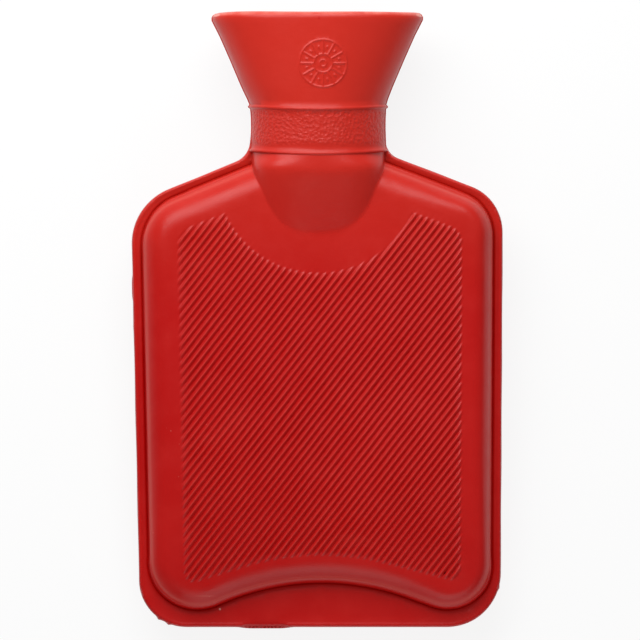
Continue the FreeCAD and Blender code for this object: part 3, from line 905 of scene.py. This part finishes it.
class Graph:
    """A material's nodes, with short ways to make and join them."""

    def __init__(self, name):
        self.material = bpy.data.materials.new(name)
        self.material.use_nodes = True
        self.tree = self.material.node_tree
        self.tree.nodes.clear()
        self.output = self.tree.nodes.new("ShaderNodeOutputMaterial")
        self.shader = self.tree.nodes.new("ShaderNodeBsdfPrincipled")
        self.join(self.shader.outputs[0], self.output.inputs["Surface"])
        self.place = self.tree.nodes.new("ShaderNodeTexCoord").outputs["Object"]

    def join(self, source, target):
        self.tree.links.new(source, target)

    def put(self, value, socket):
        if isinstance(value, bpy.types.NodeSocket):
            self.join(value, socket)
        else:
            socket.default_value = value

    def noise(self, scale, detail, roughness=0.55, distortion=0.0):
        node = self.tree.nodes.new("ShaderNodeTexNoise")
        self.join(self.place, node.inputs["Vector"])
        node.inputs["Scale"].default_value = scale
        node.inputs["Detail"].default_value = detail
        node.inputs["Roughness"].default_value = roughness
        node.inputs["Distortion"].default_value = distortion
        return node.outputs["Fac"]

    def cells(self, scale):
        node = self.tree.nodes.new("ShaderNodeTexVoronoi")
        self.join(self.place, node.inputs["Vector"])
        node.inputs["Scale"].default_value = scale
        return node.outputs["Distance"]

    def spread(self, value, low, high, to_low=0.0, to_high=1.0):
        """The value, moved from one range to another with soft ends."""
        node = self.tree.nodes.new("ShaderNodeMapRange")
        node.interpolation_type = "SMOOTHSTEP"
        for socket, number in zip(node.inputs, (value, low, high, to_low, to_high)):
            self.put(number, socket)
        return node.outputs["Result"]

    def math(self, operation, a, b):
        node = self.tree.nodes.new("ShaderNodeMath")
        node.operation = operation
        for socket, value in zip(node.inputs, (a, b)):
            self.put(value, socket)
        return node.outputs[0]

    def mix(self, share, a, b):
        node = self.tree.nodes.new("ShaderNodeMix")
        node.data_type = "RGBA"
        self.put(share, node.inputs[0])
        self.put(a, node.inputs[6])
        self.put(b, node.inputs[7])
        return node.outputs[2]

    def attribute(self, name):
        node = self.tree.nodes.new("ShaderNodeAttribute")
        node.attribute_name = name
        return node.outputs["Fac"]

    def along(self, axis):
        """The distance along an axis of the mould's frame, in metres."""
        direction = MOULD.col[axis].to_3d()
        node = self.tree.nodes.new("ShaderNodeVectorMath")
        node.operation = "DOT_PRODUCT"
        self.join(self.place, node.inputs[0])
        node.inputs[1].default_value = direction
        return self.math("ADD", node.outputs["Value"], -direction.dot(MOULD.translation))

    def bump(self, height, distance, strength=1.0, normal=None):
        node = self.tree.nodes.new("ShaderNodeBump")
        node.inputs["Strength"].default_value = strength
        node.inputs["Distance"].default_value = distance
        self.join(height, node.inputs["Height"])
        if normal is not None:
            self.join(normal, node.inputs["Normal"])
        return node.outputs["Normal"]


# Colours of the rubber
RED = (0.50, 0.0055, 0.0042, 1.0)
RED_DEEP = (0.46, 0.0025, 0.0020, 1.0)
RED_PALE = (0.53, 0.012, 0.009, 1.0)
# Painted light: a warmer, lighter red towards the mouth, as if lit from above
RED_WARM_LIT = (0.53, 0.023, 0.012, 1.0)
# Painted shade: darker red in the ribs' grooves and in the base's scoop
RED_GROOVE_SHADE = (0.43, 0.0010, 0.0008, 1.0)
# Pale bloom and scratch colour, also used as painted highlight on the rib crests and along the wall's
# edge
BLOOM_AND_SHEEN = (0.58, 0.06, 0.045, 1.0)
SPECK = (0.80, 0.36, 0.30, 1.0)
# Painted highlight: a paler line along the funnel's lip
LIP_HIGHLIGHT = (0.74, 0.17, 0.13, 1.0)

# How strongly they mix, and where, with heights over the base edge in metres
PALE_SHARE = 0.35
# Painted light from above: the red gets warmer and lighter towards the mouth
WARM_LIT_SHARE = 0.85
WARM_LIT_FROM = (0.10, 0.19)
# Painted highlight: the ribs' crests paler, as if catching the light
CREST_SHEEN_SHARE = 0.28
CREST_SHEEN_FROM = (0.35, 1.0)
# Painted shade in the ribs' grooves, read from the crest value
GROOVE_SHADE_FROM = (0.0, -RIB_ROOT / (RIB_HEIGHT - RIB_ROOT))
# Painted highlight along the wall's edge
EDGE_HIGHLIGHT_SHARE = 0.5
BLOOM_SHARE = 0.16
SPECK_SHARE = 0.5
# Painted highlight along the funnel's lip
LIP_HIGHLIGHT_SHARES = (0.35, 0.9)
LIP_HIGHLIGHT_FROM = (0.2128, 0.2140)

# Small marks on the front, of wear, and of painted shade in the base's scoop: (x, y, half sizes across
# and up, colour)
WEAR_AND_SHADE_MARKS = (
    (-38.9, 11.6, 3.2, 0.15, BLOOM_AND_SHEEN),
    (-33.8, 6.8, 0.36, 0.36, SPECK),
    (0.7, 212.0, 0.36, 0.55, RED_DEEP),
    # Painted shade: the scoop in the base edge darkened as if in shadow
    (-18.0, 0.9, 8.2, 1.5, RED_GROOVE_SHADE),
    (-35.4, 213.6, 1.7, 0.6, SPECK),
    (36.0, 213.6, 1.5, 0.6, SPECK),
)
MARK_SHARE = 0.75
MARK_EDGE = (1.6, 0.5)

# Gloss of the rubber, on its faces and in the ribs' grooves
ROUGHNESS = (0.30, 0.40)
BLOOM_POLISH = 0.2
RUBBER_IOR = 1.45
FACE_GLOSS = 0.31
GROOVE_GLOSS = 0.14

# Relief of the skin in metres: fine pores, slow waves and the neck band's grain
PORE_DEPTH = 0.00006
WAVE_DEPTH = 0.00025
GRAIN_DEPTH = 0.00019
GRAIN_BAND = (168.4, 180.3)
GRAIN_FADE = 1.2


def rubber_tone(g, height, bloom, groove):
    """Uneven red with bloom, specks and wear, and painted light: warmer and lighter towards the mouth as
    if lit from above, painted shade in the grooves and in the base's scoop, and painted highlights on the
    rib crests, the wall's edge and the lip.
    """
    tone = g.mix(g.spread(g.noise(22.0, 4.0), 0.35, 0.68), RED_DEEP, RED)
    tone = g.mix(g.spread(g.noise(140.0, 5.0), 0.45, 0.8, 0.0, PALE_SHARE), tone, RED_PALE)
    # Painted light: warmer and lighter towards the mouth, as if lit from above
    tone = g.mix(g.spread(height, *WARM_LIT_FROM, 0.0, WARM_LIT_SHARE), tone, RED_WARM_LIT)
    # Painted highlight: the ribs' crests paler, as if catching the light
    tone = g.mix(g.spread(g.attribute("crest"), *CREST_SHEEN_FROM, 0.0, CREST_SHEEN_SHARE), tone, BLOOM_AND_SHEEN)
    # Painted shade: darker in the ribs' grooves
    tone = g.mix(groove, tone, RED_GROOVE_SHADE)
    # Painted highlight: a paler line along the wall's edge
    tone = g.mix(g.math("MULTIPLY", g.attribute("edge_highlight"), EDGE_HIGHLIGHT_SHARE), tone, BLOOM_AND_SHEEN)
    tone = g.mix(bloom, tone, BLOOM_AND_SHEEN)
    specks = g.spread(g.cells(260.0), 0.045, 0.02)
    sparse = g.spread(g.noise(60.0, 1.0), 0.62, 0.66, 0.0, SPECK_SHARE)
    tone = g.mix(g.math("MULTIPLY", specks, sparse), tone, SPECK)
    tone = wear_and_shade_marks(g, tone, height)
    # Painted highlight: a paler, uneven line along the funnel's lip
    uneven = g.spread(g.noise(170.0, 3.0), 0.3, 0.7, *LIP_HIGHLIGHT_SHARES)
    return g.mix(g.math("MULTIPLY", g.spread(height, *LIP_HIGHLIGHT_FROM), uneven), tone, LIP_HIGHLIGHT)


def wear_and_shade_marks(g, tone, height):
    """The small marks, each an ellipse with a soft edge, on the front alone."""
    across = g.along(0)
    front = g.spread(g.along(2), 0.0, 1.0 * MM, 0.0, MARK_SHARE)
    for mark_x, mark_y, half_x, half_y, colour in WEAR_AND_SHADE_MARKS:
        far_x = g.math("DIVIDE", g.math("SUBTRACT", across, mark_x * MM), half_x * MM)
        far_y = g.math("DIVIDE", g.math("SUBTRACT", height, mark_y * MM), half_y * MM)
        far = g.math("ADD", g.math("MULTIPLY", far_x, far_x), g.math("MULTIPLY", far_y, far_y))
        tone = g.mix(g.math("MULTIPLY", g.spread(far, *MARK_EDGE), front), tone, colour)
    return tone


def rubber_relief(g, height):
    """Fine pores and slow waves all over, and a leathery grain on the band between the neck's beads."""
    low, high = (value * MM for value in GRAIN_BAND)
    fade = GRAIN_FADE * MM
    starts = g.spread(height, low - fade, low + fade)
    ends = g.spread(height, high + fade / 2, high - fade / 2)
    grain = g.math("ADD", g.noise(1250.0, 3.0, 0.6, 1.4), g.spread(g.cells(850.0), 0.0, 0.9))
    banded = g.math("MULTIPLY", grain, g.math("MULTIPLY", starts, ends))
    normal = g.bump(g.noise(2600.0, 2.0), PORE_DEPTH, 0.5)
    normal = g.bump(g.noise(210.0, 4.0), WAVE_DEPTH, 0.45, normal)
    return g.bump(banded, GRAIN_DEPTH, 1.0, normal)


def rubber_material():
    """Red rubber with a satin skin, duller in the ribs' grooves."""
    g = Graph("red_rubber")
    height = g.along(1)
    # Painted shade in the ribs' grooves, which also dulls their gloss
    groove = g.spread(g.attribute("crest"), *GROOVE_SHADE_FROM)
    bloom = g.spread(g.noise(48.0, 6.0, 0.65, 0.4), 0.56, 0.8, 0.0, BLOOM_SHARE)
    g.join(rubber_tone(g, height, bloom, groove), g.shader.inputs["Base Color"])
    rough = g.spread(g.noise(90.0, 5.0), 0.3, 0.75, *ROUGHNESS)
    polish = g.math("MULTIPLY", bloom, BLOOM_POLISH)
    g.join(g.math("SUBTRACT", rough, polish), g.shader.inputs["Roughness"])
    g.shader.inputs["IOR"].default_value = RUBBER_IOR
    g.join(g.spread(groove, 0.0, 1.0, FACE_GLOSS, GROOVE_GLOSS), g.shader.inputs["Specular IOR Level"])
    g.join(rubber_relief(g, height), g.shader.inputs["Normal"])
    return g.material


BRASS = (0.72, 0.50, 0.22, 1.0)
BRASS_TARNISHED = (0.48, 0.31, 0.13, 1.0)
BLACK_RUBBER = (0.018, 0.018, 0.019, 1.0)
BLACK_RUBBER_DUSTY = (0.05, 0.048, 0.046, 1.0)
BLACK_PLASTIC = (0.020, 0.020, 0.022, 1.0)
BLACK_PLASTIC_WORN = (0.034, 0.034, 0.037, 1.0)
PLASTIC_IOR = 1.5


def brass_material():
    """Machined brass, slightly tarnished, with fine turning marks."""
    g = Graph("turned_brass")
    tarnish = g.spread(g.noise(160.0, 5.0), 0.4, 0.75)
    g.join(g.mix(tarnish, BRASS, BRASS_TARNISHED), g.shader.inputs["Base Color"])
    g.shader.inputs["Metallic"].default_value = 1.0
    g.join(g.spread(g.noise(420.0, 4.0), 0.3, 0.8, 0.22, 0.42), g.shader.inputs["Roughness"])
    g.join(g.bump(g.noise(1800.0, 2.0), 0.00005, 0.4), g.shader.inputs["Normal"])
    return g.material


def washer_material():
    """Matt black rubber with a dusty bloom."""
    g = Graph("black_rubber")
    dust = g.spread(g.noise(300.0, 5.0), 0.5, 0.85)
    g.join(g.mix(dust, BLACK_RUBBER, BLACK_RUBBER_DUSTY), g.shader.inputs["Base Color"])
    g.join(g.spread(g.noise(240.0, 4.0), 0.3, 0.8, 0.6, 0.78), g.shader.inputs["Roughness"])
    g.join(g.bump(g.noise(2400.0, 3.0), 0.00008, 0.6), g.shader.inputs["Normal"])
    return g.material


def stopper_material():
    """Black moulded plastic with a fine spark-eroded skin and worn, shinier patches."""
    g = Graph("black_plastic")
    worn = g.spread(g.noise(120.0, 5.0), 0.48, 0.75)
    g.join(g.mix(worn, BLACK_PLASTIC, BLACK_PLASTIC_WORN), g.shader.inputs["Base Color"])
    g.join(g.spread(g.noise(200.0, 5.0), 0.35, 0.75, 0.42, 0.26), g.shader.inputs["Roughness"])
    g.shader.inputs["IOR"].default_value = PLASTIC_IOR
    g.join(g.bump(g.noise(1900.0, 3.0), 0.00005, 0.5), g.shader.inputs["Normal"])
    return g.material


def dress(obj, material):
    """Puts one material in all of an object's slots."""
    if not obj.data.materials:
        obj.data.materials.append(material)
    for slot in obj.material_slots:
        slot.material = material


# Photo's frame: its pixels and their size on the seam plane, and the place at its middle
PHOTO_PIXELS = 640
PIXEL_SIZE = 0.3484
VIEW_CENTRE = (1.05, 107.5, 0.0)
# Camera and its distance in metres
CAMERA_DISTANCE = 2.5
SENSOR_WIDTH = 36.0


def make_camera():
    """A long lens looking straight down on the seam plane, with the mouth at the top of the picture."""
    data = bpy.data.cameras.new("camera")
    data.sensor_width = SENSOR_WIDTH
    data.lens = SENSOR_WIDTH * CAMERA_DISTANCE / (PHOTO_PIXELS * PIXEL_SIZE * MM)
    camera = new_object("camera", data)
    target = Vector(place([VIEW_CENTRE])[0])
    axes = MOULD.to_3x3()
    camera.matrix_world = Matrix.Translation(target + axes.col[2] * CAMERA_DISTANCE) @ axes.to_4x4()
    bpy.context.scene.camera = camera


# Floor's width in metres, its colour, and the share of plain white that the camera sees in it
FLOOR_WIDTH = 40.0
FLOOR_WHITE = (0.86, 0.86, 0.86, 1.0)
FLOOR_GLOW = 0.86

# Lamps: (place from their target in metres, width, height, power), and the even light round them
KEY_LAMP = ((-0.10, 0.40, 0.38), 0.66, 0.36, 4.0)
LOW_LAMP = ((0.06, -0.62, 0.30), 0.50, 0.50, 1.3)
LAMP_TARGET = (0.0, 0.0, 0.01)
WORLD_STRENGTH = 0.28


def make_floor():
    """A white table top that keeps the bottle's shadow."""
    half = FLOOR_WIDTH / 2
    corners = [(-half, -half, 0), (half, -half, 0), (half, half, 0), (-half, half, 0)]
    floor = new_object("floor", new_mesh("floor", corners, [(0, 1, 2, 3)]))
    floor.data.materials.append(floor_material())


def floor_material():
    """Plain white, bright to the camera and in reflections."""
    material = bpy.data.materials.new("white_table")
    material.use_nodes = True
    nodes, links = material.node_tree.nodes, material.node_tree.links
    nodes.clear()
    path = nodes.new("ShaderNodeLightPath")
    seen = path.outputs["Is Camera Ray"]
    for kind in ("Is Glossy Ray", "Is Transmission Ray"):
        either = nodes.new("ShaderNodeMath")
        either.operation = "MAXIMUM"
        links.new(seen, either.inputs[0])
        links.new(path.outputs[kind], either.inputs[1])
        seen = either.outputs[0]
    share = nodes.new("ShaderNodeMath")
    share.operation = "MULTIPLY"
    share.inputs[1].default_value = FLOOR_GLOW
    diffuse = nodes.new("ShaderNodeBsdfDiffuse")
    diffuse.inputs["Color"].default_value = FLOOR_WHITE
    glow = nodes.new("ShaderNodeEmission")
    glow.inputs["Strength"].default_value = 1.0
    blend = nodes.new("ShaderNodeMixShader")
    output = nodes.new("ShaderNodeOutputMaterial")
    links.new(seen, share.inputs[0])
    links.new(share.outputs[0], blend.inputs[0])
    links.new(diffuse.outputs[0], blend.inputs[1])
    links.new(glow.outputs[0], blend.inputs[2])
    links.new(blend.outputs[0], output.inputs["Surface"])
    return material


def make_light(name, spot, width, height, power):
    """A soft rectangular lamp that faces the bottle."""
    data = bpy.data.lights.new(name, "AREA")
    data.shape = "RECTANGLE"
    data.size = width
    data.size_y = height
    data.energy = power
    lamp = new_object(name, data)
    target = Vector(LAMP_TARGET)
    lamp.location = target + Vector(spot)
    lamp.rotation_mode = "QUATERNION"
    lamp.rotation_quaternion = (lamp.location - target).to_track_quat("Z", "Y")


def make_world():
    """Even white light from all round."""
    world = bpy.data.worlds.new("white_room")
    world.use_nodes = True
    background = world.node_tree.nodes["Background"]
    background.inputs["Color"].default_value = (1.0, 1.0, 1.0, 1.0)
    background.inputs["Strength"].default_value = WORLD_STRENGTH
    bpy.context.scene.world = world


def main():
    bottle = make_bottle()
    dress(bottle, rubber_material())
    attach(bottle, "bottle")
    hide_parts("bottle_body")
    dress(frame["nodes"]["neck_insert"], brass_material())
    dress(frame["nodes"]["sealing_washer"], washer_material())
    dress(frame["nodes"]["stopper"], stopper_material())
    make_camera()
    make_floor()
    make_world()
    make_light("key", *KEY_LAMP)
    make_light("low", *LOW_LAMP)
    bpy.context.scene.view_settings.view_transform = "Standard"


main()
